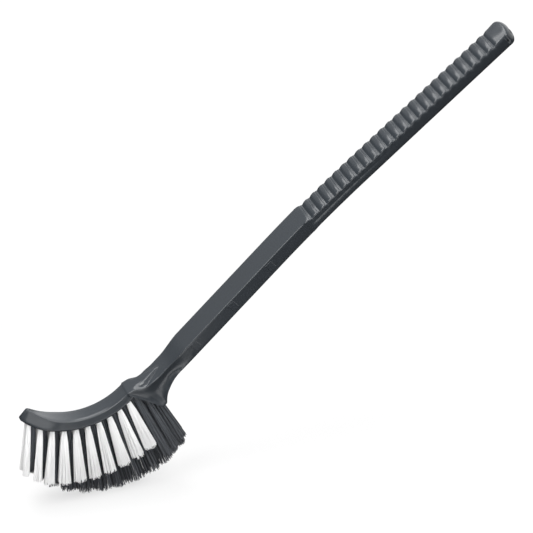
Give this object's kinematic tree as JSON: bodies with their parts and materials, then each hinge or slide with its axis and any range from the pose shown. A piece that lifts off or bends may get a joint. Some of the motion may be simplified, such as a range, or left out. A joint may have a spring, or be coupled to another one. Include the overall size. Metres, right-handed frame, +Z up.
{
  "type": "toilet brush",
  "caption": "Long-handled toilet brush: one moulded body with a ribbed grip and a curved head, rows of light bristle tufts outside and longer dark tufts between them",
  "frame": {"origin": "the middle of the brush's box, on the floor that its lowest bristle tips touch", "axes": "+Z is up. +X runs from the curved head to the free end of the handle, which rises towards +X. Y is across the brush, whose mirror plane is XZ; the side that the picture shows faces -Y"},
  "size_m": [0.3368, 0.022, 0.2945],
  "materials": {
    "moulded_grey": "satin, dark blue-grey moulded plastic",
    "white_bristle": "slightly glossy white filament",
    "dark_bristle": "slightly glossy dark grey filament"
  },
  "bodies": {
    "root": {"handle_and_head": "moulded_grey", "tuft_far_01_white": "white_bristle", "tuft_far_02_white": "white_bristle", "tuft_far_03_white": "white_bristle", "tuft_far_04_white": "white_bristle", "tuft_far_05_white": "white_bristle", "tuft_far_06_white": "white_bristle", "tuft_far_07_white": "white_bristle", "tuft_far_08_white": "white_bristle", "tuft_far_09_white": "white_bristle", "tuft_far_10_white": "white_bristle", "tuft_far_11_dark": "dark_bristle", "tuft_far_12_dark": "dark_bristle", "tuft_far_13_dark": "dark_bristle", "tuft_middle_01_dark": "dark_bristle", "tuft_middle_02_dark": "dark_bristle", "tuft_middle_03_dark": "dark_bristle", "tuft_middle_04_dark": "dark_bristle", "tuft_middle_05_dark": "dark_bristle", "tuft_middle_06_dark": "dark_bristle", "tuft_middle_07_dark": "dark_bristle", "tuft_middle_08_dark": "dark_bristle", "tuft_middle_09_dark": "dark_bristle", "tuft_middle_10_dark": "dark_bristle", "tuft_middle_11_dark": "dark_bristle", "tuft_middle_12_dark": "dark_bristle", "tuft_near_01_white": "white_bristle", "tuft_near_02_white": "white_bristle", "tuft_near_03_white": "white_bristle", "tuft_near_04_white": "white_bristle", "tuft_near_05_white": "white_bristle", "tuft_near_06_white": "white_bristle", "tuft_near_07_white": "white_bristle", "tuft_near_08_white": "white_bristle", "tuft_near_09_white": "white_bristle", "tuft_near_10_white": "white_bristle", "tuft_near_11_dark": "dark_bristle", "tuft_near_12_dark": "dark_bristle", "tuft_near_13_dark": "dark_bristle"}
  },
  "joints": []
}
